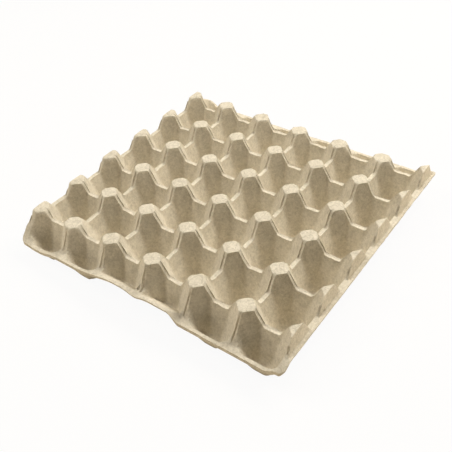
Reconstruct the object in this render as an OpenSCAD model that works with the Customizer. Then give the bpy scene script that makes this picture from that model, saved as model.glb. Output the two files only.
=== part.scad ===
// Moulded pulp egg tray: one thin sheet pressed over a square lattice of hollow posts.
// Millimetres. The origin is the centre of the footprint on the table, +Z up.
// Full pockets lie between four posts; half pockets close the front and back edges.

/* [Layout] */
// Distance between neighbouring posts, the same both ways
pitch = 48; // [44:0.5:54]
// Number of egg pockets along X
columns = 6; // [2:1:7]
// Number of egg pockets along Y
rows = 5; // [2:1:7]

/* [Heights] */
// Height of the post tops above the table
tray_h = 46; // [42:0.5:54]
// Height of the saddles between neighbouring posts and of the side flanges
saddle_h = 31.5; // [26:0.5:35]
// Height of the flange along the front and back edges
rim_h = 19.5; // [14:0.5:23]

/* [Sheet] */
// Thickness of the pulp sheet
wall = 1.8; // [1.4:0.1:2]

/* [Posts] */
// Width of a post's flat top, from rib to rib
top_w = 16.4; // [14:0.2:20]
// Width of a post's flat top between the diagonal faces
top_diagonal_w = 13.9; // [11:0.1:16]
// Width of the ribs on the posts and of the saddle crests
rib_w = 4.2; // [3.8:0.1:5]
// Height of the upright edge of a saddle crest above the pocket wall
crest_step = 0.9; // [0.4:0.1:2]
// Length of the level part of a saddle
saddle_len = 13.8; // [10:0.2:16]
// Distance from a front or back post's centre to the foot of its outward rib
foot_run = 20; // [17:0.2:22]
// Distance that a right post's outer face stands inside the post line, at its top
side_cut = 3.1; // [2:0.1:4]
// The same distance at the level of the saddles
side_cut_low = 1.2; // [0.5:0.1:2]
// Distance that a left post's outer face stands inside the post line, at its top
left_cut = 0.3; // [0:0.1:2]
// The same distance at the level of the saddles, below zero where the face lies outside the line
left_cut_low = -1.8; // [-1.9:0.1:-0.8]

/* [Pockets] */
// Width of a pocket across its flats where the walls meet the floor
floor_w = 26; // [22:0.5:28]
// Radius between a pocket's floor and its walls
floor_r = 8; // [2:0.5:8.5]
// Distance from the outer post line to the flange, at the top of a half pocket
recess_w = 24.5; // [23:0.1:26]
// The same distance at the floor of a half pocket
recess_floor_w = 17.4; // [12:0.1:21]
// Length cut off each outer corner of a half pocket, at the level of the saddles
recess_corner = 3.2; // [2:0.1:8]
// The same length at the floor
recess_floor_corner = 7; // [5:0.1:10]

/* [Edges] */
// Width of the flange along the front and back
flange_w = 3.3; // [2:0.1:8]
// Width of the flange outside the side post lines
side_flange_w = 2.7; // [2:0.1:8]
// Radius of the tray's four corners in plan
corner_r = 5; // [2:0.5:12]
// Rise of the front and back flange where it climbs to the corners
corner_rise = 4; // [1:0.5:7]
// Length of flange over which it climbs to each corner
corner_climb = 20; // [10:1:30]

/* [Warp] */
// Lift of the bent stretch of the front flange
bow_lift = 8; // [0:0.5:9]
// Where along X the bent stretch starts to rise
bow_start = -72; // [-90:1:-50]
// Where along X it is full
bow_full = -22; // [-40:1:-10]
// Where along X it starts to fall
bow_hold = 36; // [10:1:38]
// Where along X it ends
bow_end = 47; // [40:1:80]
// Distance from the outer post line to the foot of the front wall where the flange is bent
bow_floor_w = 4.4; // [2:0.1:13]
// Drop of the front flange towards its left end
droop = 4.5; // [0:0.5:6]
// Distance from the left end over which it drops
droop_len = 50; // [20:1:80]
// Distance that the tops of the left posts lean towards the middle
left_lean = 3; // [0:0.1:3]
// Height lost by the front posts at the left end
post_drop = 4; // [0:0.5:5]
// Height lost by the back posts towards the right end, the last one left out
back_drop = 3.5; // [0:0.5:4]

/* [Hidden] */

pulp_colour = [0.80, 0.74, 0.63];
floor_steps = 2;
bow_steps = 6;
plate = 0.01;
drop_per_row = 1.5;
drop_near = 0.8;
drop_far = 2.3;
beyond = 60;

half_x = columns * pitch / 2;
half_rows = rows * pitch / 2;
half_recess = half_rows + pitch / 2;
edge_x = half_x + side_flange_w;
edge_y = half_rows + recess_w + flange_w;
rib_run = (pitch - saddle_len - top_w) / 2;
rib_rise = tray_h - saddle_h;
foot_rise = tray_h - rim_h;
climb_end = edge_x + side_flange_w;
over_top = tray_h + 10;

function column_x(i) = (i - columns / 2) * pitch;
function row_y(j) = (j - rows / 2) * pitch;

// A smooth step from 0 to 1 as x goes from a to b
function ramp(x, a, b) =
    let (s = min(1, max(0, (x - a) / (b - a))))
    s * s * (3 - 2 * s);

// Point where a straight line through two points of a pocket wall reaches the height z
function wall_at(low, high, z) =
    low[0] + (high[0] - low[0]) * (z - low[1]) / (high[1] - low[1]);

// Rounding between a level floor and a wall that leaves it at the given angle
function floor_arc(half_w, angle) = [
    for (i = [0 : floor_steps])
        let (a = angle * i / floor_steps)
        [half_w - floor_r * tan(angle / 2) + floor_r * sin(a), wall + floor_r * (1 - cos(a))]
];

// Half of a pocket's section: floor, rounding, then one straight wall through high
function half_section(high) =
    let (low = [floor_w / 2, wall])
    let (angle = atan2(high[1] - low[1], high[0] - low[0]))
    concat(floor_arc(floor_w / 2, angle), [[wall_at(low, high, over_top), over_top]]);

// The same with the wall upright above high, which leaves the ribs at their full width
function ribbed_section(high) =
    let (low = [floor_w / 2, wall])
    let (angle = atan2(high[1] - low[1], high[0] - low[0]))
    concat(floor_arc(floor_w / 2, angle), [high, [high[0], over_top]]);

// A list of numbers from the least to the greatest
function sorted(list) =
    len(list) < 2 ? list
    : let (pivot = list[floor(len(list) / 2)])
        concat(
            sorted([for (v = list) if (v < pivot) v]),
            [pivot],
            sorted([for (v = list) if (v > pivot) v])
        );

// A whole section from its half on the positive side and the mirror image of the other one
function joined_halves(half, other) =
    concat(half, [for (i = [len(other) - 1 : -1 : 0]) [-other[i][0], other[i][1]]]);

saddle_edge = [(pitch - rib_w) / 2, saddle_h - crest_step];
post_edge = [pitch / sqrt(2) - top_diagonal_w / 2, tray_h];

// The flange's climb to each corner, and the bent stretch and drooping end of the front one
function climb(x) = corner_rise * ramp(abs(x), climb_end - corner_climb, climb_end);
function bow(x) = bow_lift * (ramp(x, bow_start, bow_full) - ramp(x, bow_hold, bow_end));
function sag(x) = droop * ramp(x, droop_len - edge_x, droop_len / 2 - edge_x);
function is_bent(x) = bow(x) > bow_lift / 2;

// How far a post's faces reach from its centre at the height z, moved in by the depth d
function moved_in(run, rise, d) = d * norm([run, rise]) / rise;
function rib_reach(z, d) =
    top_w / 2 + (tray_h - z) * rib_run / rib_rise - moved_in(rib_run, rib_rise, d);
function foot_reach(z, d) =
    let (run = foot_run - top_w / 2)
    top_w / 2 + (tray_h - z) * run / foot_rise - moved_in(run, foot_rise, d);
function side_reach(z, d, cut, cut_low) =
    let (run = cut - cut_low)
    (tray_h - z) * run / rib_rise - cut - moved_in(run, rib_rise, d);

// Height that a post has lost at the left front corner, fading out some posts away from it
function front_loss(i, j) = post_drop * (1 - ramp(i + drop_per_row * j, drop_near, drop_far));

// Height that a post has lost in the back row, growing towards the right end
function back_loss(i, j) = j == rows && i < columns ? back_drop * ramp(i, 0, columns - 1) : 0;

// A bar along Y whose section is the given outline, grown by the depth d
module section_bar(outline, d) {
    rotate([90, 0, 0])
        linear_extrude(height = 2 * pitch, center = true)
            offset(delta = d)
                polygon(outline);
}

// The hollow of one pocket: eight walls, from four bars that cross at its centre.
// A depth d above 0 gives the underside of the sheet, which has no ribs. The posts to the left
// lean in by the given distance.
module pocket(lean, d) {
    saddle_side = d == 0 ? ribbed_section(saddle_edge) : half_section(saddle_edge);
    right = half_section(post_edge);
    left = half_section(post_edge - [lean / sqrt(2), 0]);
    intersection() {
        section_bar(joined_halves(saddle_side, saddle_side), d);
        rotate(90)
            section_bar(joined_halves(saddle_side, saddle_side), d);
        rotate(45)
            section_bar(joined_halves(right, left), d);
        rotate(135)
            section_bar(joined_halves(left, right), d);
    }
}

// All that lies inside a straight wall through low and high, as a long bar along X
module inside_wall(low, high, d) {
    rotate([90, 0, 90])
        linear_extrude(height = 4 * edge_y, center = true)
            offset(delta = d)
                polygon([
                    [0, -wall],
                    [wall_at(low, high, -wall), -wall],
                    [wall_at(low, high, over_top), over_top],
                    [0, over_top]
                ]);
}

// A half pocket at y = half_recess: a pocket closed by the flange's wall and two cut corners
module half_pocket(lean, bent, d) {
    low_y = half_rows + (bent ? bow_floor_w : recess_floor_w);
    high_y = half_rows + recess_w;
    high_z = rim_h + (bent ? bow_lift : 0);
    wide_y = wall_at([half_rows + recess_floor_w, wall], [high_y, rim_h], saddle_edge[1]);
    low_corner = (floor_w / 2 + half_rows + recess_floor_w - recess_floor_corner) / sqrt(2);
    high_corner = (saddle_edge[0] + wide_y - recess_corner) / sqrt(2);
    intersection() {
        translate([0, half_recess, 0])
            pocket(lean, d);
        inside_wall([low_y, wall], [high_y, high_z], d);
        for (turn = [-45, 45])
            rotate(turn)
                inside_wall([low_corner, wall], [high_corner, saddle_edge[1]], d);
    }
}

module pockets(d) {
    for (i = [0 : columns - 1]) {
        lean = i == 0 ? left_lean : 0;
        translate([column_x(i + 0.5), 0, 0]) {
            for (j = [0 : rows - 1])
                translate([0, row_y(j + 0.5), 0])
                    pocket(lean, d);
            half_pocket(lean, false, d);
            mirror([0, 1, 0])
                half_pocket(lean, is_bent(column_x(i + 0.5)), d);
        }
    }
}

// A thin level plate around a post's centre, reaching left, right, front and back
module reach_plate(z, left, right, front, back) {
    translate([-left, -front, z - plate])
        cube([left + right, front + back, plate]);
}

// One post as a block with four sloping sides; pockets cut its corners later
module post(i, j, d) {
    top = tray_h - d;
    low = rim_h / 2;
    translate([column_x(i), row_y(j), -front_loss(i, j) - back_loss(i, j)])
        hull()
            for (z = [low, top])
                reach_plate(
                    z,
                    i == 0 ? side_reach(z, d, left_cut, left_cut_low) : rib_reach(z, d),
                    i == columns ? side_reach(z, d, side_cut, side_cut_low)
                        : rib_reach(z, d) + (i == 0 && z == top ? left_lean : 0),
                    j == 0 ? foot_reach(z, d) : rib_reach(z, d),
                    j == rows ? foot_reach(z, d) : rib_reach(z, d)
                );
}

// Everything under the level of the saddles, and the side flanges down to the corners
module saddle_block(d) {
    top = saddle_h - d;
    reach = half_rows + top_w / 2;
    translate([-edge_x - beyond, -reach, -beyond])
        cube([2 * (edge_x + beyond), 2 * reach, beyond + top]);
    level = half_rows + rib_run + top_w / 2;
    corner_top = rim_h + corner_rise - d;
    for (side = [0, 1])
        mirror([side, 0, 0])
            translate([half_x - top_w / 2, 0, 0])
                rotate([90, 0, 90])
                    linear_extrude(height = top_w / 2 + side_flange_w + beyond)
                        polygon([
                            [-edge_y - beyond, -beyond],
                            [-edge_y - beyond, corner_top],
                            [-edge_y - flange_w, corner_top],
                            [-level, top],
                            [level, top],
                            [edge_y + flange_w, corner_top],
                            [edge_y + beyond, corner_top],
                            [edge_y + beyond, -beyond]
                        ]);
}

// The front and back flange, with its bent stretch at the front and its climb to the corners
module rim_block(d) {
    ends = [-edge_x - beyond, for (s = [0 : 0.5 : 1]) -climb_end + s * corner_climb];
    other_ends = [for (k = [len(ends) - 1 : -1 : 0]) -ends[k]];
    slope = [for (s = [1 : 3]) droop_len * (1 + s) / 4 - edge_x];
    rise = [for (s = [0 : bow_steps]) bow_start + (bow_full - bow_start) * s / bow_steps];
    fall = [for (s = [0 : bow_steps]) bow_hold + (bow_end - bow_hold) * s / bow_steps];
    front = sorted(concat(ends, slope, rise, fall, other_ends));
    flange_bar(-1, [for (x = front) [x, rim_h + climb(x) + bow(x) - sag(x) - d]]);
    flange_bar(1, [for (x = concat(ends, other_ends)) [x, rim_h + climb(x) - d]]);
}

// A bar along the front (side -1) or back (side 1) whose top follows the given line
module flange_bar(side, top_line) {
    first = top_line[0][0];
    last = top_line[len(top_line) - 1][0];
    near = side < 0 ? -edge_y - beyond : half_rows;
    translate([0, near + edge_y + beyond - half_rows, 0])
        rotate([90, 0, 0])
            linear_extrude(height = edge_y + beyond - half_rows)
                polygon(concat(top_line, [[last, -beyond], [first, -beyond]]));
}

// All that lies under one face of the sheet: the upper face at depth 0, the lower at depth wall
module form(d) {
    difference() {
        union() {
            saddle_block(d);
            rim_block(d);
            for (i = [0 : columns], j = [0 : rows])
                post(i, j, d);
        }
        pockets(d);
    }
}

// The outline of the tray from above, as an upright block
module footprint() {
    translate([0, 0, -beyond])
        linear_extrude(height = beyond + over_top)
            offset(r = corner_r, $fn = 32)
                square([2 * (edge_x - corner_r), 2 * (edge_y - corner_r)], center = true);
}

module tray() {
    color(pulp_colour)
        difference() {
            intersection() {
                form(0);
                footprint();
            }
            form(wall);
        }
}

tray();
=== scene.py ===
# %% [markdown]
# # A moulded pulp egg tray
#
# The real tray is one sheet of wet paper pulp, sucked onto a wire mould and dried. It has hollow
# posts on a square lattice, low saddles between them and a deep eight-sided pocket in every
# square. The imported CAD model already has the right shape and size. It is loaded first, as a
# frame that nothing here may move, and its box is kept.

# %% Load the frame
import bpy
import numpy as np
from mathutils import Matrix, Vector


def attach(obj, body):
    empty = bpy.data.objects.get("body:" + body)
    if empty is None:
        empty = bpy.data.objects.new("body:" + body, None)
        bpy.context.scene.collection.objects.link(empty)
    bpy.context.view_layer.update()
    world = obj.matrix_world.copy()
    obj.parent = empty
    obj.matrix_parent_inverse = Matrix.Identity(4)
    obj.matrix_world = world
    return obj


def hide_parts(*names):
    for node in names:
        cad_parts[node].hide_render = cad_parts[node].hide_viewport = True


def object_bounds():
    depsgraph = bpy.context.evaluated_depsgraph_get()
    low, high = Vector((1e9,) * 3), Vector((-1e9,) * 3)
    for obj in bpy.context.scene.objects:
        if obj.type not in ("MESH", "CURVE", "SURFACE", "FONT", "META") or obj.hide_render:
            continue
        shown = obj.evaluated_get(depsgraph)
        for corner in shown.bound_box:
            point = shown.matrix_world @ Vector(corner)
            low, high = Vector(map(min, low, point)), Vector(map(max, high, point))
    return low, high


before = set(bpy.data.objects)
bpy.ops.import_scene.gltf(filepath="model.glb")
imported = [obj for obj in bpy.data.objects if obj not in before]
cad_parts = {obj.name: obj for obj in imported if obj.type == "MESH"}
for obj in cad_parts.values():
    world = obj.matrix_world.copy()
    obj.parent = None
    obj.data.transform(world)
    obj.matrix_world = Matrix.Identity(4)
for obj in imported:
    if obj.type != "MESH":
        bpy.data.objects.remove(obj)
cad_box = [list(map(float, corner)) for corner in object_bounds()]
MM = 0.001
print("CAD box in mm:", [[round(v / MM, 1) for v in corner] for corner in cad_box])

# %% [markdown]
# ## The tray's own numbers
#
# The lattice, the heights and the slopes are those of the CAD source, in millimetres. A slope is
# given as its run: how far a face moves sideways for each millimetre that it falls. The overall
# sizes come from the loaded frame, so that they can't drift from the solid. The few values that
# differ from the source, set to suit the photograph, say so where they stand. Fillets, the
# print of the mould and the wear are added further down.

# %% Driving dimensions
PITCH = 48.0                  # between neighbouring posts
COLUMNS, ROWS = 6, 5          # full pockets along X and Y
TOP = cad_box[1][2] / MM      # post tops above the table
SADDLE = 31.5                 # crests between posts, and the side flanges
RIM = 19.5                    # flange along the front and back
WALL = 1.8                    # thickness of the sheet
TOP_HALF = 8.2                # half width of a post's flat top, rib to rib
RIB_HALF = 2.1                # half width of a rib or a saddle crest
RIB_RUN = 0.614               # run of a rib
FOOT_RUN = 0.445              # run of the ribs that face front and back
FLOOR_HALF = 13.0             # half width of a pocket's floor, across its flats
SADDLE_RUN = 0.309            # run of the pocket walls below the saddles
POST_RUN = 0.3165             # run of the diagonal pocket walls below the posts
EDGE_X = cad_box[1][0] / MM
EDGE_Y = cad_box[1][1] / MM
HALF = PITCH / 2
LINE_X = COLUMNS * HALF       # outermost post lines
LINE_Y = ROWS * HALF
CORNER_R = 5.0                # corners of the tray in plan
WORN_CORNER_R = 13.0          # the back right corner, which is rubbed round, not in the source
print("outer post lines at", LINE_X, LINE_Y, "mm; edges at", round(EDGE_X, 1), round(EDGE_Y, 1))

# %% [markdown]
# ## A grid that is fine where the ribs are
#
# Seen from above, the sheet is a height above every point of the table, so a grid in x and y can
# carry it. The pockets could also be cut one by one, but soft corners and wear are easier to add
# to a single formula for the height. The ribs are only four millimetres wide with a groove in the
# middle, while the pocket walls are broad. The grid lines therefore stand close together on the
# post lines and further apart between them. The first broad line is placed so that the slanting
# edges of the post tops run through grid points. Round corners come from a map that squeezes each
# square corner of the grid into a quarter disc.

# %% Grid lines
BROAD_STEPS = 17
TOP_STEPS = 4                 # broad steps across a slanting edge of a post top
TOP_SUM = PITCH - np.sqrt(2) * (FLOOR_HALF + POST_RUN * (TOP - WALL))   # |dx| + |dy| along it
FIRST_BROAD = (BROAD_STEPS * TOP_SUM - TOP_STEPS * HALF) / (2 * BROAD_STEPS - TOP_STEPS)
RIB_STEPS = np.array([0.0, 0.55, 1.0, 1.55, 2.05, FIRST_BROAD])


def half_cell():
    """Distances from a post line to the middle of a pocket: close on the rib, even beyond it."""
    return np.concatenate([RIB_STEPS, np.linspace(FIRST_BROAD, HALF, BROAD_STEPS + 1)[1:]])


def axis_lines(cells, outside):
    """All grid lines along one axis: a mirrored half cell on both sides of every post line,
    then the given distances outside the outermost post line."""
    step = half_cell()
    cell = np.concatenate([step, PITCH - step[-2::-1]])
    inner = np.unique(np.round(np.concatenate([i * PITCH + cell for i in range(cells)]), 6))
    inner = inner - cells * HALF
    edge = cells * HALF
    return np.concatenate([-edge - outside[::-1], inner, edge + outside])


FLANGE_STEPS = 5
side_steps = np.linspace(0, EDGE_X - LINE_X, FLANGE_STEPS + 1)[1:]
flange_steps = np.linspace(HALF, EDGE_Y - LINE_Y, FLANGE_STEPS + 1)[1:]
front_steps = np.concatenate([half_cell()[1:], flange_steps])
SEAM_LINES = LINE_X - np.array([3.0, 4.3, 5.6, 6.8])   # extra lines for the seams of the right posts
lines_x = np.sort(np.concatenate([axis_lines(COLUMNS, side_steps), SEAM_LINES]))
lines_y = axis_lines(ROWS, front_steps)
print(len(lines_x), "by", len(lines_y), "grid lines, first broad line at", FIRST_BROAD.round(2), "mm")


def rounded_corners(x, y):
    """Square corners become quarter discs: inside each corner box of side r, the point (u, v)
    goes to (u sqrt(1 - v v / 2), v sqrt(1 - u u / 2))."""
    r = np.where((x > 0) & (y > 0), WORN_CORNER_R, CORNER_R)
    u = np.clip((np.abs(x) - EDGE_X + r) / r, 0, 1)
    v = np.clip((np.abs(y) - EDGE_Y + r) / r, 0, 1)
    shift_x = r * u * (np.sqrt(1 - v * v / 2) - 1)
    shift_y = r * v * (np.sqrt(1 - u * u / 2) - 1)
    return x + np.sign(x) * shift_x, y + np.sign(y) * shift_y


# %% [markdown]
# ## Soft corners and uneven pulp
#
# Two helpers do most of the work. A soft maximum joins two sloping planes with a round fillet
# instead of a crease. A smooth random field, made from a small table of seeded random numbers,
# gives the waves and lumps that drying leaves in pulp, and the ragged side edges where the wet
# sheet tore off the mould. Blender's own bevels and textures could do the same later, but here
# every height stays known, so the sheet can be kept closed and inside the CAD box.

# %% Soft maximum and smooth noise
def soft_max(a, b, k):
    """The larger of a and b, with a parabolic fillet where they differ by less than k."""
    h = np.clip(0.5 + 0.5 * (a - b) / k, 0, 1)
    return b + (a - b) * h + k * h * (1 - h)


def soft_min(a, b, k):
    """The smaller of a and b, with the same fillet."""
    return -soft_max(-a, -b, k)


def ramp(x, a, b):
    """0 before a, 1 after b, and a smooth cubic step between them."""
    s = np.clip((x - a) / (b - a), 0, 1)
    return s * s * (3 - 2 * s)


def smooth_noise(x, y, cell, seed, size):
    """Random values between -1 and 1 on a square table with the given cell size in mm, blended
    between neighbours by a cubic step. The table repeats after size cells."""
    table = np.random.default_rng(seed).uniform(-1, 1, (size, size))
    u, v = x / cell + size / 2, y / cell + size / 2
    i, j = np.floor(u).astype(int), np.floor(v).astype(int)
    s, t = ramp(u - i, 0, 1), ramp(v - j, 0, 1)
    i0, i1, j0, j1 = i % size, (i + 1) % size, j % size, (j + 1) % size
    low = table[i0, j0] * (1 - s) + table[i1, j0] * s
    high = table[i0, j1] * (1 - s) + table[i1, j1] * s
    return low * (1 - t) + high * t


print("a fillet of 2 mm lifts a crease by", soft_max(0.0, 0.0, 2.0), "mm")

# %% Ragged edges
RAGGED, RAGGED_FRONT = 1.2, 0.25   # greatest loss along the side edges, and its share at the front
RAGGED_STEPS = ((4.0, 21, 96), (11.0, 22, 64))   # cell, seed and table size of its two noises


def ragged_edges(x, y):
    """Draw the outermost points of the sides in by up to RAGGED mm, in short random steps that
    grow from RAGGED_FRONT of that at the front to all of it at the back."""
    grow = RAGGED_FRONT + (1 - RAGGED_FRONT) * ramp(y, -LINE_Y / 2, LINE_Y / 2)
    out = ramp(np.abs(x), LINE_X, EDGE_X) * grow
    steps = 0.5 + 0.25 * sum(smooth_noise(x, y, *noise) for noise in RAGGED_STEPS)
    return x - np.sign(x) * RAGGED * out * (steps - steps.min()), y


grid_x, grid_y = ragged_edges(*rounded_corners(*np.meshgrid(lines_x, lines_y)))
print("grid from", grid_x.min().round(2), "to", grid_x.max().round(2), "mm across")

# %% [markdown]
# ## The flanges
#
# The front and back flanges lie lower than the side ones and climb to meet them at the corners.
# They could be strips joined to the pockets, but as heights in the same formula they need no
# joint. On this tray the front flange is bent: it bows up between the third and the fifth post and
# sags at the left end, as trays do when they have been handled wet. Where the flanges aren't
# bowed, a lip hangs down a little along their outer edge.

# %% Heights of the flanges
BOW_LIFT = 8.0                # lift of the front flange where it is bowed
BOW = (-72.0, -22.0, 36.0, 47.0)   # where along x the bow starts, is full, starts to fall and ends
DROOP, DROOP_LEN = 4.5, 50.0  # sag of its left end, and the length that sags
CORNER_RISE, CORNER_CLIMB = 4.0, 20.0   # climb of the flanges to a corner, and its length
EAR_DROP, EAR_LEN = 9.0, 22.0   # dip of the side flange at the left front corner, not in the source
DENT, DENT_HALF = 3.2, 8.0    # dent of the front flange at its middle rib, not in the source
SIDE_BLEND = 16.0             # length over which a front or back flange runs into a side one
LIP_TURN, LIP_WIDE = 1.8, 1.6   # height and width of the hanging lip, not in the source
RECESS_TOP = 24.5             # from the outer post line to the flange, at the top of a half pocket
SIDE_OUT = EDGE_X - LINE_X
LEVEL_END = LINE_Y + TOP_HALF + RIB_RUN * (TOP - SADDLE)


def bow_share(x, y):
    """1 where the front flange is bowed up, 0 where it isn't, with smooth ends."""
    return (ramp(x, BOW[0], BOW[1]) - ramp(x, BOW[2], BOW[3])) * (y < 0)


def left_front(x, y):
    """True in the left front quarter of the tray."""
    return (x < 0) & (y < 0)


def rim_height(x, y):
    """Height of the front or back flange: level, with a climb at all ends but the left front
    one, where it droops instead; and with the bow, which the dent interrupts."""
    end = EDGE_X + SIDE_OUT
    climb = CORNER_RISE * ramp(np.abs(x), end - CORNER_CLIMB, end) * ~left_front(x, y)
    sag = DROOP * ramp(-x, EDGE_X - DROOP_LEN, EDGE_X - DROOP_LEN / 2) * (y < 0)
    dent = DENT * np.exp(-(x / DENT_HALF) ** 2) * (y < 0)
    return RIM + climb + BOW_LIFT * bow_share(x, y) - sag - dent


def side_height(x, y):
    """Height of a side flange: level with the saddles, then down a slope to the corner."""
    flange = EDGE_Y - LINE_Y - RECESS_TOP
    fall = (np.abs(y) - LEVEL_END) / (EDGE_Y + flange - LEVEL_END)
    dip = EAR_DROP * ramp(np.abs(y), EDGE_Y - EAR_LEN, EDGE_Y) * left_front(x, y)
    return SADDLE + (RIM + CORNER_RISE - SADDLE) * np.clip(fall, 0, 1) - dip


def flange_height(x, y):
    """Height of the front or back flange, running up into the side flange near its ends."""
    rim, side = rim_height(x, y), side_height(x, y)
    return rim + np.maximum(side - rim, 0) * ramp(np.abs(x), LINE_X - SIDE_BLEND, LINE_X - RIB_HALF)


def turned_lip(x, y):
    """How far the underside hangs down along the outer edge of the front or back flange."""
    return LIP_TURN * ramp(np.abs(y), EDGE_Y - LIP_WIDE, EDGE_Y) * (1 - bow_share(x, y))


front_rim = rim_height(lines_x, np.full(len(lines_x), -EDGE_Y))
print("front flange between", front_rim.min().round(1), "and", front_rim.max().round(1), "mm high")

# %% [markdown]
# ## The pockets
#
# Every point of the table lies at some distance from the nearest post line across and along.
# With these two distances, one set of planes describes all the pockets: four walls under the
# saddles, four slanting walls under the posts, and a floor. The edges between the walls are
# fairly sharp at the top and melt into a round bowl further down, because wet pulp bridges tight
# corners. Past the last row a pocket is cut in half by the flange's wall, and its edges stay sharper.

# %% Places in the lattice
def post_number(v, cells):
    """Number of the nearest post line, counted from 0 at the negative end."""
    return np.clip(np.round(v / PITCH + cells / 2), 0, cells)


def post_line(v, cells):
    """Place of the nearest post line."""
    return PITCH * (post_number(v, cells) - cells / 2)


def fold(v, cells):
    """Distance of v from the nearest of the cells + 1 post lines along one axis."""
    return np.abs(v - post_line(v, cells))


def across(run, depth):
    """How far a plane with that run per mm of rise moves sideways when it moves in by depth."""
    return depth * np.sqrt(1 + run * run)


print("the wall of a pocket is", across(SADDLE_RUN, WALL).round(2), "mm thick on the level")

# %% Walls of a full pocket
LEAN = 3.0                    # the tops of the left posts lean in by this much
STEEP = 30.0                  # rise per mm of the upright sides of a rib
SIDE_RIB = 1.8                # extra inner width of the right posts' ribs, not in the source
SIDE_RUN = (HALF - RIB_HALF - SIDE_RIB - FLOOR_HALF) / (HALF - RIB_HALF - FLOOR_HALF) * SADDLE_RUN


def walls_under_crests(x, a, b, depth):
    """Height of the walls below the saddles at distances a and b from the post lines: planes that
    leave the floor at FLOOR_HALF from the pocket's middle, with upright sides at the ribs."""
    right_end = x > LINE_X - HALF
    run = np.where(right_end, SIDE_RUN, SADDLE_RUN)
    wall_x = WALL + (HALF - a - FLOOR_HALF - across(run, depth)) / run
    wide = np.abs(HALF - b)
    wall_y = WALL + (wide - FLOOR_HALF - across(SADDLE_RUN, depth)) / SADDLE_RUN
    if depth == 0:
        wall_x = wall_x + STEEP * np.maximum(RIB_HALF + SIDE_RIB * right_end - a, 0)
        wall_y = wall_y + STEEP * np.maximum(wide - HALF + RIB_HALF, 0)
    return np.maximum(wall_x, wall_y)


def walls_under_posts(x, a, b, depth):
    """Height of the slanting walls below the posts: planes at the same distance from the pocket's
    middle, with less run under the left posts, which lean in."""
    lean = np.where(x < HALF - LINE_X, LEAN / np.sqrt(2), 0)
    run = POST_RUN - lean / (TOP - WALL)
    diagonal = (PITCH - a - b) / np.sqrt(2)
    return WALL + (diagonal - FLOOR_HALF - across(run, depth)) / run


print("run of the walls below the saddles:", SADDLE_RUN, "and at the right end:", round(SIDE_RUN, 3))

# %% Walls of a half pocket
RECESS_FLOOR = 19.2           # from the outer post line to the end of its floor, source 17.4
BENT_FLOOR = 4.4              # the same where the front flange is bowed
RECESS_CORNER, RECESS_FLOOR_CORNER = 3.2, 7.0   # lengths cut off its outer corners, top and floor
CREST_STEP = 0.9              # upright edge of a saddle crest


def recess_walls(x, y, a, b, depth):
    """Heights of a half pocket's outer wall and of its slanting outer corners. Each is a plane
    through its place on the floor and its place at the top."""
    bent = (y < 0) & (np.abs(x) < PITCH)
    low = np.where(bent, BENT_FLOOR, RECESS_FLOOR)
    run = (RECESS_TOP - low) / (RIM - WALL + np.where(bent, BOW_LIFT, 0))
    front = WALL + (b - low - across(run, depth)) / run
    crest = SADDLE - CREST_STEP
    wide_y = RECESS_FLOOR + (RECESS_TOP - RECESS_FLOOR) / (RIM - WALL) * (crest - WALL)
    corner_low = FLOOR_HALF + RECESS_FLOOR - RECESS_FLOOR_CORNER
    corner_high = HALF - RIB_HALF + wide_y - RECESS_CORNER
    run = (corner_high - corner_low) / np.sqrt(2) / (crest - WALL)
    corner = WALL + ((HALF - a + b - corner_low) / np.sqrt(2) - across(run, depth)) / run
    return front, corner


print("half pockets reach", RECESS_TOP, "mm past the last post line, and their floors", RECESS_FLOOR)

# %% All walls and the floor
EDGE_SOFT = 2.0               # fillet between two walls
BOWL_SOFT, HALF_SOFT = 9.0, 2.0   # what it gains low in a full pocket, and in a half pocket
BOWL_LOW, BOWL_HIGH = 6.0, 30.0   # heights between which it gains this
FLOOR_SOFT, RECESS_SOFT = 15.0, 7.0   # fillets round the floors of full and half pockets


def pocket_walls(x, y, a, b, depth):
    """Height of the pocket's inside (depth 0) or outside (depth WALL) at distances a and b from
    the post lines: the highest of the walls and the floor, joined by fillets."""
    under_crest = walls_under_crests(x, a, b, depth)
    under_post = walls_under_posts(x, a, b, depth)
    outside = np.abs(y) > LINE_Y
    low_share = 1 - ramp(np.maximum(under_crest, under_post), BOWL_LOW, BOWL_HIGH)
    soft = EDGE_SOFT + np.where(outside, HALF_SOFT, BOWL_SOFT) * low_share
    z = soft_max(under_crest, under_post, soft)
    front, corner = recess_walls(x, y, a, b, depth)
    half = soft_max(soft_max(z, front, EDGE_SOFT), corner, EDGE_SOFT)
    floor_soft = np.where(outside, RECESS_SOFT, FLOOR_SOFT)
    return soft_max(np.where(outside, half, z), WALL - depth, floor_soft)


bottom = pocket_walls(HALF, 0.0, HALF, HALF, 0)
print("the middle of a pocket lies", np.round(bottom, 2), "mm above the table")

# %% [markdown]
# ## Posts, crests and both faces
#
# The sheet is as high as its posts and crests allow, and where a pocket is cut into them, as low
# as the pocket walls. Three posts at the left front corner have sunk, and so has part of the back
# row. The underside is the same set of planes moved in by the thickness of the pulp, so the wall
# keeps its thickness on slopes as well.

# %% Upper and lower face
RIGHT_CUT, RIGHT_RUN = 2.4, 0.131   # outer face of the right posts, 0.7 further out than the source's
LEFT_CUT, LEFT_RUN = 0.3, 0.145   # outer face of the left posts
FRONT_DROP = 4.0              # height lost by the post at the left front corner
DROP_PER_ROW = 1.5            # one row towards the back counts as this many columns
DROP_NEAR, DROP_FAR = 0.8, 2.3   # columns between which the loss fades out
BACK_DROP = 3.5               # height lost by the back row at its last post but one
PUFF = 0.45                   # how far the rim of a post top lies below its middle
CREST_SOFT, FOOT_SOFT = 1.2, 7.0   # fillets of the ribs on the saddles, and on the end flanges
CUT_SOFT, POST_SOFT = 2.0, 0.5   # fillets of the posts' outer faces, and of their other edges


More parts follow.
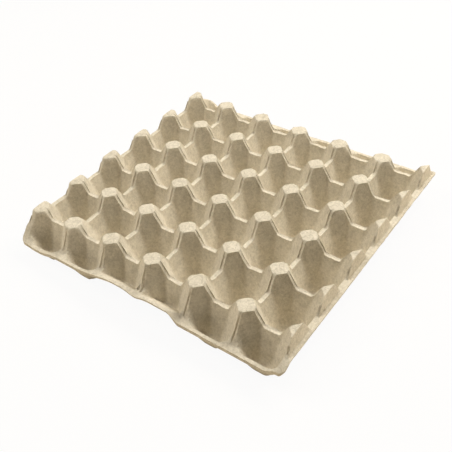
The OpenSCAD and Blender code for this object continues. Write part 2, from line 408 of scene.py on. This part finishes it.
def lost_height(i, j):
    """Height that the post in column i and row j has lost: at the left front corner, and in the
    back row towards its right end."""
    front = FRONT_DROP * (1 - ramp(i + DROP_PER_ROW * j, DROP_NEAR, DROP_FAR))
    back = BACK_DROP * ramp(i, 0, COLUMNS - 1) * (j == ROWS) * (i < COLUMNS)
    return front + back


def posts_and_crests(x, y, depth):
    """Height of posts, crests and flanges: flat tops, ribs that slope away on four sides, the
    cut outer face of the side posts, and the level saddles and flanges between them."""
    i, j = post_number(x, COLUMNS), post_number(y, ROWS)
    dx, dy = x - post_line(x, COLUMNS), y - post_line(y, ROWS)
    top = TOP - lost_height(i, j)
    lean = np.where((i == 0) & (dx > 0), LEAN, 0)
    run_x = RIB_RUN - lean / (TOP - RIM / 2)
    run_y = np.where(np.abs(y) > LINE_Y, FOOT_RUN, RIB_RUN)
    fall_x = (np.abs(dx) + across(run_x, depth) - TOP_HALF - lean) / run_x
    fall_y = (np.abs(dy) + across(run_y, depth) - TOP_HALF) / run_y
    rib = top - np.maximum(fall_x, fall_y)
    right = top - (x - LINE_X + RIGHT_CUT + across(RIGHT_RUN, depth)) / RIGHT_RUN
    left = top - (-x - LINE_X + LEFT_CUT + across(LEFT_RUN, depth)) / LEFT_RUN
    flat = top - depth
    if depth == 0:
        flat = flat - PUFF * (dx * dx + dy * dy) / TOP_HALF ** 2
    post = soft_min(soft_min(rib, np.minimum(right, left), CUT_SOFT), flat, POST_SOFT)
    past = np.abs(y) > LINE_Y + TOP_HALF
    level = np.where(past, flange_height(x, y), SADDLE) - depth
    return soft_max(post, level, np.where(past, FOOT_SOFT, CREST_SOFT))


def sheet_face(x, y, depth):
    """Height of the upper face (depth 0) or lower face (depth WALL) of the sheet."""
    a, b = fold(x, COLUMNS), fold(y, ROWS)
    a = np.where(np.abs(x) > LINE_X, 0, a)
    walls = pocket_walls(x, y, a, b, depth)
    block = posts_and_crests(x, y, depth)
    soft = np.where(block > SADDLE + CREST_SOFT, POST_SOFT, CREST_SOFT)
    return np.maximum(soft_min(block, walls, soft), 0)


upper = sheet_face(grid_x, grid_y, 0)
lower = np.maximum(sheet_face(grid_x, grid_y, WALL) - turned_lip(grid_x, grid_y), 0)
print("upper face from", upper.min().round(2), "to", upper.max().round(2), "mm;",
      "least height of pulp", (upper - lower).min().round(2), "mm")

# %% [markdown]
# ## Ribs, waves and wear
#
# Each rib carries the print of the mould's wire seam: a flat groove between two thin ridges, or a
# small step on the ribs that face the front. The ribs along the front and back edges are broad at
# the foot and slope to one side of a dark slit. On the saddles there is only a faint line, and on
# the right posts, whose ribs are cut by the outer face, a seam beside the cut edge. The middle
# front rib is torn near its foot, and drying leaves shallow waves and small lumps everywhere.
# A bump map could show all this, but not in the outline and not in raking light, so it is real
# relief. It is worked out along the surface normal and then turned into a change of height, so
# that a steep wall gets as much relief as a flat top.

# %% Prints on the ribs
TOP_EDGE = (-0.3, 1.0)        # prints fade in between these distances past a post's flat top
FOOT_CLEAR, GROOVE_FADE = 1.0, 2.0   # they end this far above a flange, and fade over this height
GROOVE_DEPTH = 0.75           # of the flat groove
GROOVE_FLAT, RIDGE = 1.1, 0.5   # its sides rise between these distances from the rib's edge
STEP_DEPTH = 1.05             # of the step on the ribs that face the front
STEP_FROM, STEP_TO = -1.55, -1.05   # it lies between these places, counted from the rib's middle
SADDLE_GROOVE, SADDLE_LINE = 0.3, (0.3, 1.0)   # depth and half widths of the line on the saddles
SADDLE_NEAR = 1.0             # it is drawn this close to their height
ROOF, FLARE = 0.22, 3.0       # fall of an end rib to the left of its slit; it fades over this width
SLIT_DEPTH, SLIT_HALF = 1.2, 0.9
SLIT_IN, SLIT_DRIFT = 0.84, 0.08   # place of the slit at the top, and its way to the left per mm down


def below_top(distance):
    """0 on a post's flat top, 1 on its ribs, at that distance from the post's middle."""
    return ramp(distance, TOP_HALF + TOP_EDGE[0], TOP_HALF + TOP_EDGE[1])


def end_rib_print(dx, z, rib_half):
    """Depth of the print on a front or back rib: it falls away to the left of its slit like a
    roof, by ROOF for each mm of half width."""
    ridge = SLIT_IN - SLIT_DRIFT * (TOP - z)
    slit = SLIT_DEPTH * (1 - ramp(np.abs(dx - ridge), 0, SLIT_HALF))
    roof = np.clip((ridge - dx) / (ridge + rib_half), 0, 1)
    return ROOF * rib_half * roof * (1 - ramp(-dx, rib_half, rib_half + FLARE)) + slit


def rib_groove(x, y, z):
    """Depth of the print on every rib, from just under the top to the foot: a flat groove between
    two ridges. Ribs that face the front have a step down near their left side and climb from it
    to the right. The outermost front and back ribs grow wider where the pocket walls draw back."""
    a, b = fold(x, COLUMNS), fold(y, ROWS)
    dx = x - post_line(x, COLUMNS)
    along, away = np.maximum(a, b), np.minimum(a, b)
    end_rib = (np.abs(y) > LINE_Y) & (a < b)
    foot = np.where(end_rib, flange_height(x, y) + FOOT_CLEAR, SADDLE)
    on_rib = below_top(along) * ramp(z, foot, foot + GROOVE_FADE)
    rib_half = np.maximum(RIB_HALF, end_rib * (HALF - FLOOR_HALF - SADDLE_RUN * (z - WALL)))
    flat = 1 - ramp(away, rib_half - GROOVE_FLAT, rib_half - RIDGE)
    facing = (a < b) & (y < post_line(y, ROWS))
    climb = ramp(dx, STEP_FROM, STEP_TO) * np.clip((RIB_HALF - dx) / (RIB_HALF - STEP_TO), 0, 1)
    press = np.where(facing, STEP_DEPTH * climb, GROOVE_DEPTH * flat)
    press = np.where(end_rib, end_rib_print(dx, z, rib_half), press)
    on_saddle = (along > TOP_HALF) & (np.abs(z - SADDLE) < SADDLE_NEAR)
    saddle = SADDLE_GROOVE * on_saddle * (1 - ramp(away, *SADDLE_LINE))
    return np.where(np.abs(x) > LINE_X, 0, np.maximum(on_rib * press, saddle))


grooves = rib_groove(grid_x, grid_y, upper)
print("prints up to", grooves.max().round(2), "mm deep")

# %% Seam of the right posts
SEAM_DEPTH, SEAM_IN, SEAM_HALF = 0.9, 1.1, 0.7
SEAM_UP, SEAM_FADE = 2.0, 3.0   # it ends this far above the saddles, and fades over this height


def side_seam(x, y, z):
    """Depth of the seam down the right posts' ribs, at a distance of SEAM_IN from the edge of
    their outer face."""
    inside = LINE_X - RIGHT_CUT + RIGHT_RUN * (TOP - z) - x
    foot = np.where(np.abs(y) > LINE_Y, flange_height(x, y) + FOOT_CLEAR, SADDLE + SEAM_UP)
    on_rib = below_top(fold(y, ROWS)) * ramp(z, foot, foot + SEAM_FADE)
    return SEAM_DEPTH * on_rib * (1 - ramp(np.abs(inside - SEAM_IN), 0, SEAM_HALF))


seams = side_seam(grid_x, grid_y, upper)
print("seams up to", seams.max().round(2), "mm deep")

# %% Torn foot
TEAR_LEFT, TEAR_RIGHT, TEAR_DEPTH = -2.2, 1.3, 2.6
TEAR_HALF = (0.3, 0.9)        # half width of a slit, at its bottom and at its top
TEAR_START, TEAR_END = (11.0, 14.0), (19.0, 22.0)   # its ends, from the outer post line
FLAP_RISE, FLAP_OUT, FLAP_HALF, FLAP_LONG = 1.5, 13.0, 1.2, 2.5


def torn_foot(x, y):
    """Change of height at the torn foot of the middle front rib: two slits and a curled flap
    between them, which is a bell curve both ways."""
    out = -y - LINE_Y
    aside = np.minimum(np.abs(x - TEAR_LEFT), np.abs(x - TEAR_RIGHT))
    slit = (1 - ramp(aside, *TEAR_HALF)) * ramp(out, *TEAR_START) * (1 - ramp(out, *TEAR_END))
    middle = (TEAR_LEFT + TEAR_RIGHT) / 2
    flap = np.exp(-((x - middle) / FLAP_HALF) ** 2 - ((out - FLAP_OUT) / FLAP_LONG) ** 2)
    return FLAP_RISE * flap - TEAR_DEPTH * slit


tear = torn_foot(grid_x, grid_y)
print("tear between", tear.min().round(2), "and", tear.max().round(2), "mm")

# %% Waves, and the worn upper face
WAVES = ((0.32, 19.0, 11, 64), (0.22, 6.5, 12, 64), (0.12, 2.6, 13, 160))   # height, cell, seed, table
CALM, CALM_DEPTH = 0.4, 1.0   # share of the waves on the post tops, down to this far below them
THINNEST = 0.5                # least height of pulp that the wear leaves
STEEPEST = 4.0                # greatest rise per mm that counts for the normal


def slope_factor(z, x_lines, y_lines):
    """Length of the surface normal of a height field whose height part is 1."""
    dz_dy, dz_dx = np.gradient(z, y_lines, x_lines)
    return np.sqrt(1 + np.minimum(dz_dx ** 2 + dz_dy ** 2, STEEPEST ** 2))


waves = sum(height * smooth_noise(grid_x, grid_y, *noise) for height, *noise in WAVES)
waves = np.where(upper > TOP - CALM_DEPTH, CALM * waves, waves)
relief = waves - grooves - seams
steep = slope_factor(upper, lines_x, lines_y)
worn_upper = np.clip(upper + relief * steep + tear, lower + THINNEST, TOP)
print("relief between", relief.min().round(2), "and", relief.max().round(2), "mm")

# %% [markdown]
# ## One closed mesh
#
# A Solidify modifier could give one face its thickness, but it would cross itself in the tight
# corners beside the ribs, so both faces are built. The upper face uses every grid line. Nobody sees
# the underside from close by, so it uses every second line, which saves more than a third of the
# triangles. Each grid square is split along the diagonal that runs around its post, so the
# slanting edges of the post tops stay straight. Along the edge each long lower side meets two
# short upper sides, and three triangles close the gap.

# %% Build the mesh
SHARP_ANGLE = np.radians(38)


def grid_triangles(points, start, up):
    """Two triangles for each square of a table of points whose numbers begin at start; up sets
    which way they face. The split follows the lines on which |dx| + |dy| from the nearest post
    is the same."""
    rows, cols = points.shape[:2]
    k = start + np.arange(rows * cols).reshape(rows, cols)
    p, q, r, s = k[:-1, :-1], k[:-1, 1:], k[1:, 1:], k[1:, :-1]
    middle = (points[:-1, :-1] + points[1:, 1:]) / 2
    dx = middle[..., 0] - post_line(middle[..., 0], COLUMNS)
    dy = middle[..., 1] - post_line(middle[..., 1], ROWS)
    falling = (dx * dy > 0)[..., None]
    first = np.where(falling, np.stack([p, q, s], axis=-1), np.stack([p, q, r], axis=-1))
    second = np.where(falling, np.stack([q, r, s], axis=-1), np.stack([p, r, s], axis=-1))
    triangles = np.concatenate([first.reshape(-1, 3), second.reshape(-1, 3)])
    return triangles if up else triangles[:, ::-1]


def boundary(k):
    """The outer ring of a table of point numbers, counter-clockwise from above."""
    return np.concatenate([k[0, :-1], k[:-1, -1], k[-1, :0:-1], k[:0:-1, 0]])


def closed_sheet(name, upper_points, lower_points):
    """One object from two tables of points, closed along their common edge."""
    rows, cols = upper_points.shape[:2]
    low_rows, low_cols = lower_points.shape[:2]
    count = rows * cols
    ring = boundary(np.arange(count).reshape(rows, cols))
    low_ring = boundary(count + np.arange(low_rows * low_cols).reshape(low_rows, low_cols))
    first, middle, last = ring[0::2], ring[1::2], np.roll(ring, -2)[0::2]
    low_first, low_last = low_ring, np.roll(low_ring, -1)
    triangles = np.concatenate([
        grid_triangles(upper_points, 0, True),
        grid_triangles(lower_points, count, False),
        np.stack([first, low_first, middle], axis=1),
        np.stack([middle, low_first, low_last], axis=1),
        np.stack([middle, low_last, last], axis=1),
    ])
    points = np.concatenate([upper_points.reshape(-1, 3), lower_points.reshape(-1, 3)]) * MM
    mesh = bpy.data.meshes.new(name)
    mesh.vertices.add(len(points))
    mesh.vertices.foreach_set("co", points.astype(np.float32).ravel())
    mesh.loops.add(triangles.size)
    mesh.loops.foreach_set("vertex_index", triangles.astype(np.int32).ravel())
    mesh.polygons.add(len(triangles))
    mesh.polygons.foreach_set("loop_start", np.arange(0, triangles.size, 3, dtype=np.int32))
    mesh.polygons.foreach_set("use_smooth", np.ones(len(triangles), dtype=bool))
    mesh.update(calc_edges=True)
    mesh.validate()
    mesh.set_sharp_from_angle(angle=SHARP_ANGLE)
    obj = bpy.data.objects.new(name, mesh)
    bpy.context.scene.collection.objects.link(obj)
    print(name, "has", len(triangles), "triangles")
    return obj


upper_points = np.stack([grid_x, grid_y, worn_upper], axis=-1)
lower_points = np.stack([grid_x, grid_y, lower], axis=-1)[::2, ::2]
tray = closed_sheet("pulp_tray", upper_points, lower_points)
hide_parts("tray")
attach(tray, "root")

# %% [markdown]
# ## The pulp
#
# Recycled paper pulp is a dull warm grey-brown with no shine. Its colour varies in soft stains
# and in fine specks of fibre, and thin creases cross the post tops. A picture of pulp would
# stretch on the steep walls, so the pattern is solid noise. It reads Object coordinates and stays
# on the tray from every side.

# %% Pulp material
PULP_LIGHT = (0.785, 0.718, 0.587, 1.0)
PULP_DARK = (0.515, 0.462, 0.358, 1.0)
STAINS = ((28.0, 0.25), (150.0, 0.50), (420.0, 0.72), (1000.0, 0.60))   # scale per metre, weight
STAIN_START = -0.235          # brings the mean of all the noise to 0.8
DARKEST, LIGHTEST = 0.48, 1.0   # sums of the noise at which the pulp has its two end colours
CREASE_SCALE, CREASE_WIDTH = 95.0, 0.035   # cells of the net per metre, and width in cells
CREASE_DEPTH = 0.25           # what a crease takes off the sum
CREASE_LOW, CREASE_HIGH = 0.039, 0.043   # creases fade in between these heights, in metres


def added(nodes, links, value, weight, total):
    """A node that adds weight times a value to the total, which may be a number or a socket."""
    part = nodes.new("ShaderNodeMath")
    part.operation = "MULTIPLY_ADD"
    part.inputs[1].default_value = weight
    links.new(value, part.inputs[0])
    if isinstance(total, float):
        part.inputs[2].default_value = total
    else:
        links.new(total, part.inputs[2])
    return part.outputs[0]


def pulp_material():
    """A matt base colour mixed from two browns by four sizes of noise and a net of thin creases,
    with a fine bump from the same pattern."""
    mat = bpy.data.materials.new("grey_brown_pulp")
    mat.use_nodes = True
    nodes, links = mat.node_tree.nodes, mat.node_tree.links
    shader = nodes["Principled BSDF"]
    shader.inputs["Roughness"].default_value = 0.92
    shader.inputs["Specular IOR Level"].default_value = 0.15
    place = nodes.new("ShaderNodeTexCoord")
    total = STAIN_START
    for scale, weight in STAINS:
        noise = nodes.new("ShaderNodeTexNoise")
        noise.inputs["Scale"].default_value = scale
        noise.inputs["Detail"].default_value = 3.0
        links.new(place.outputs["Object"], noise.inputs["Vector"])
        total = added(nodes, links, noise.outputs["Fac"], weight, total)
    net = nodes.new("ShaderNodeTexVoronoi")
    net.feature = "DISTANCE_TO_EDGE"
    net.inputs["Scale"].default_value = CREASE_SCALE
    links.new(place.outputs["Object"], net.inputs["Vector"])
    crease = nodes.new("ShaderNodeMapRange")
    crease.inputs["From Min"].default_value = 0.0
    crease.inputs["From Max"].default_value = CREASE_WIDTH
    crease.inputs["To Max"].default_value = 0.0
    links.new(net.outputs["Distance"], crease.inputs["Value"])
    parts = nodes.new("ShaderNodeSeparateXYZ")
    links.new(place.outputs["Object"], parts.inputs["Vector"])
    on_top = nodes.new("ShaderNodeMapRange")
    on_top.inputs["From Min"].default_value = CREASE_LOW
    on_top.inputs["From Max"].default_value = CREASE_HIGH
    links.new(parts.outputs["Z"], on_top.inputs["Value"])
    links.new(on_top.outputs["Result"], crease.inputs["To Min"])
    total = added(nodes, links, crease.outputs["Result"], -CREASE_DEPTH, total)
    colours = nodes.new("ShaderNodeValToRGB")
    colours.color_ramp.elements[0].position = DARKEST
    colours.color_ramp.elements[0].color = PULP_DARK
    colours.color_ramp.elements[1].position = LIGHTEST
    colours.color_ramp.elements[1].color = PULP_LIGHT
    links.new(total, colours.inputs["Fac"])
    links.new(colours.outputs["Color"], shader.inputs["Base Color"])
    bump = nodes.new("ShaderNodeBump")
    bump.inputs["Strength"].default_value = 0.45
    bump.inputs["Distance"].default_value = 0.0008
    links.new(total, bump.inputs["Height"])
    links.new(bump.outputs["Normal"], shader.inputs["Normal"])
    return mat


tray.data.materials.append(pulp_material())
print("material:", tray.data.materials[0].name)

# %% [markdown]
# ## The ground
#
# The tray stands on a white ground with almost no shadow. More light on a pale floor would make it
# white too, but would bleach the pulp. So the ground is nearly white of its own accord to the
# camera, and to the light it is an ordinary pale floor.

# %% Floor
GROUND_HALF = 6.0             # half its side, in metres
GROUND_COLOUR = (0.82, 0.73, 0.59, 1.0)
GROUND_WHITE = 0.94           # share of plain white that the camera sees


def ground_material():
    """To the camera and in reflections mostly plain white, to the light a pale matt floor."""
    mat = bpy.data.materials.new("white_ground")
    mat.use_nodes = True
    nodes, links = mat.node_tree.nodes, mat.node_tree.links
    shader = nodes["Principled BSDF"]
    shader.inputs["Base Color"].default_value = GROUND_COLOUR
    shader.inputs["Roughness"].default_value = 1.0
    shader.inputs["Specular IOR Level"].default_value = 0.0
    glow = nodes.new("ShaderNodeEmission")
    rays = nodes.new("ShaderNodeLightPath")
    seen = nodes.new("ShaderNodeMath")
    seen.operation = "MAXIMUM"
    links.new(rays.outputs["Is Camera Ray"], seen.inputs[0])
    links.new(rays.outputs["Is Glossy Ray"], seen.inputs[1])
    share = nodes.new("ShaderNodeMath")
    share.operation = "MULTIPLY"
    share.inputs[1].default_value = GROUND_WHITE
    links.new(seen.outputs[0], share.inputs[0])
    mix = nodes.new("ShaderNodeMixShader")
    links.new(share.outputs[0], mix.inputs["Fac"])
    links.new(shader.outputs[0], mix.inputs[1])
    links.new(glow.outputs[0], mix.inputs[2])
    links.new(mix.outputs[0], nodes["Material Output"].inputs["Surface"])
    return mat


ground_mesh = bpy.data.meshes.new("ground")
g = GROUND_HALF
ground_mesh.from_pydata([(-g, -g, 0), (g, -g, 0), (g, g, 0), (-g, g, 0)], [], [(0, 1, 2, 3)])
ground = bpy.data.objects.new("ground", ground_mesh)
bpy.context.scene.collection.objects.link(ground)
ground_mesh.materials.append(ground_material())
print("ground of", 2 * g, "m")

# %% [markdown]
# ## Light
#
# Large soft lamps stand in two groups, to the left and to the back right, so that the faces
# towards the camera are the darkest, and a weak one hangs overhead for the pocket floors. Two weak
# warm lamps near the ground lift the outer faces at the right and the left sides of the front
# ribs. One even sky would be simpler, but it would hide the ribs and pockets.

# %% Lamps and world
LAMP_FAR, LAMP_SIZE = 1.6, 0.8   # distance from the tray and side of a lamp, in metres
LAMP_TINT, LOW_TINT = (1.0, 0.955, 0.875), (1.0, 0.87, 0.66)
LAMPS = (                     # name, height angle, direction from +x towards +y, watts, tint
    ("right_lamp", 48, 52, 17.3, LAMP_TINT),
    ("back_lamp", 50, 92, 11.0, LAMP_TINT),
    ("left_lamp", 50, 206, 13.0, LAMP_TINT),
    ("top_lamp", 84, 60, 1.6, LAMP_TINT),
    ("low_right_lamp", 3, 8, 4.0, LOW_TINT),
    ("low_front_lamp", 4, 244, 5.4, LOW_TINT),
)


def studio_world():
    """Plain white behind the floor for the camera, and darkness for the light."""
    world = bpy.data.worlds.new("studio")
    world.use_nodes = True
    nodes, links = world.node_tree.nodes, world.node_tree.links
    dark = nodes["Background"]
    dark.inputs["Strength"].default_value = 0.0
    white = nodes.new("ShaderNodeBackground")
    white.inputs["Color"].default_value = (1.0, 1.0, 1.0, 1.0)
    rays = nodes.new("ShaderNodeLightPath")
    mix = nodes.new("ShaderNodeMixShader")
    links.new(rays.outputs["Is Camera Ray"], mix.inputs["Fac"])
    links.new(dark.outputs[0], mix.inputs[1])
    links.new(white.outputs[0], mix.inputs[2])
    links.new(mix.outputs[0], nodes["World Output"].inputs["Surface"])
    return world


bpy.context.scene.world = studio_world()


def placed(obj, axes, place):
    """Put an object into the scene with the given directions of its own x, y and z."""
    rows = [[*row, t] for row, t in zip(np.array(axes).T, place)]
    obj.matrix_world = Matrix(rows + [[0, 0, 0, 1]])
    bpy.context.scene.collection.objects.link(obj)
    return obj


def soft_lamp(name, height, turn, power, tint):
    """A square area lamp LAMP_FAR from the middle of the tray, turned to face it and hidden from
    the camera."""
    lamp = bpy.data.lights.new(name, "AREA")
    lamp.size, lamp.energy, lamp.color = LAMP_SIZE, power, tint
    h, t = np.radians([height, turn])
    z_axis = np.array([np.cos(h) * np.cos(t), np.cos(h) * np.sin(t), np.sin(h)])
    x_axis = np.array([-np.sin(t), np.cos(t), 0.0])
    obj = bpy.data.objects.new(name, lamp)
    obj.visible_camera = False
    return placed(obj, (x_axis, np.cross(z_axis, x_axis), z_axis), LAMP_FAR * z_axis)


for lamp_row in LAMPS:
    soft_lamp(*lamp_row)
print("world and", len(LAMPS), "lamps set")

# %% [markdown]
# ## Camera
#
# The camera stands at the photograph's angle. It could be aimed by eye, but it was fitted to the
# post tops instead: its place and its directions are in the tray's own frame, in metres.

# %% Camera
CAMERA_PLACE = (0.29313, -0.38762, 0.40912)
CAMERA_AXES = ((0.8097, 0.5846, -0.0514), (-0.3481, 0.5490, 0.7599), (0.4724, -0.5974, 0.6480))
LENS, SENSOR = 50.56, 36.0    # in millimetres
camera = bpy.data.cameras.new("camera")
camera.lens, camera.sensor_width = LENS, SENSOR
bpy.context.scene.camera = placed(bpy.data.objects.new("camera", camera), CAMERA_AXES, CAMERA_PLACE)
bpy.context.scene.view_settings.view_transform = "Standard"
print("camera at", CAMERA_PLACE)
